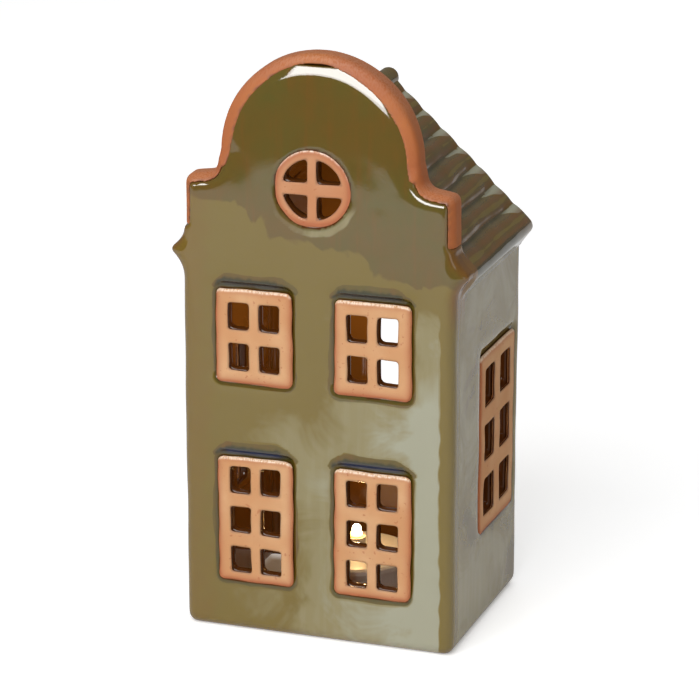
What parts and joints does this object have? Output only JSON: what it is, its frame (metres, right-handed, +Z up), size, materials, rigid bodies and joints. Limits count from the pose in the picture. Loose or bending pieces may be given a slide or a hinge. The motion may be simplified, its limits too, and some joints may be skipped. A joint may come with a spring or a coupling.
{
  "type": "light-up house decoration",
  "caption": "Glazed ceramic town house with a rounded gable, pierced clay windows and an open base, standing over a battery tea light.",
  "frame": {"origin": "middle of the base, on the surface that the house stands on", "axes": "+Z up towards the gable, +Y towards the back wall, +X to the right seen from the front"},
  "size_m": [0.0952, 0.0694, 0.1851],
  "materials": {
    "green_glaze": "gloss",
    "bare_clay": "matte",
    "rim_clay": "matte",
    "white_plastic": "satin",
    "black_plastic": "satin",
    "nickel": "satin",
    "lamp_lens": "gloss"
  },
  "bodies": {
    "tea_light": {"light_shell": "white_plastic", "base_plate": "white_plastic", "coin_cell": "nickel", "negative_contact": "nickel", "positive_contact": "nickel", "cathode_leg": "nickel", "anode_leg": "nickel", "led_lens": "lamp_lens"},
    "house": {"front_facade": "green_glaze", "gable_rim": "rim_clay", "left_wall": "green_glaze", "right_wall": "green_glaze", "back_wall": "green_glaze", "roof_left": "green_glaze", "roof_right": "green_glaze", "ridge_roll": "green_glaze", "upper_left_window": "bare_clay", "upper_right_window": "bare_clay", "lower_left_window": "bare_clay", "lower_right_window": "bare_clay", "round_attic_window": "bare_clay", "left_side_window": "bare_clay", "right_side_window": "bare_clay"},
    "door": {"battery_door": "white_plastic", "door_screw": "nickel"},
    "switch": {"switch_knob": "black_plastic", "switch_wiper": "nickel"}
  },
  "joints": [
    {"name": "house_lift", "type": "slide", "parent": "tea_light", "child": "house", "axis": [0, 0, 1], "range_m": [0, 0.04]},
    {"name": "door_hinge", "type": "hinge", "parent": "tea_light", "child": "door", "pos_m": [-0.0145, 0.0015, 0.0011], "axis": [0, 1, 0], "range_deg": [0, 95]},
    {"name": "switch_slide", "type": "slide", "parent": "tea_light", "child": "switch", "axis": [0, -1, 0], "range_m": [0, 0.003]}
  ]
}
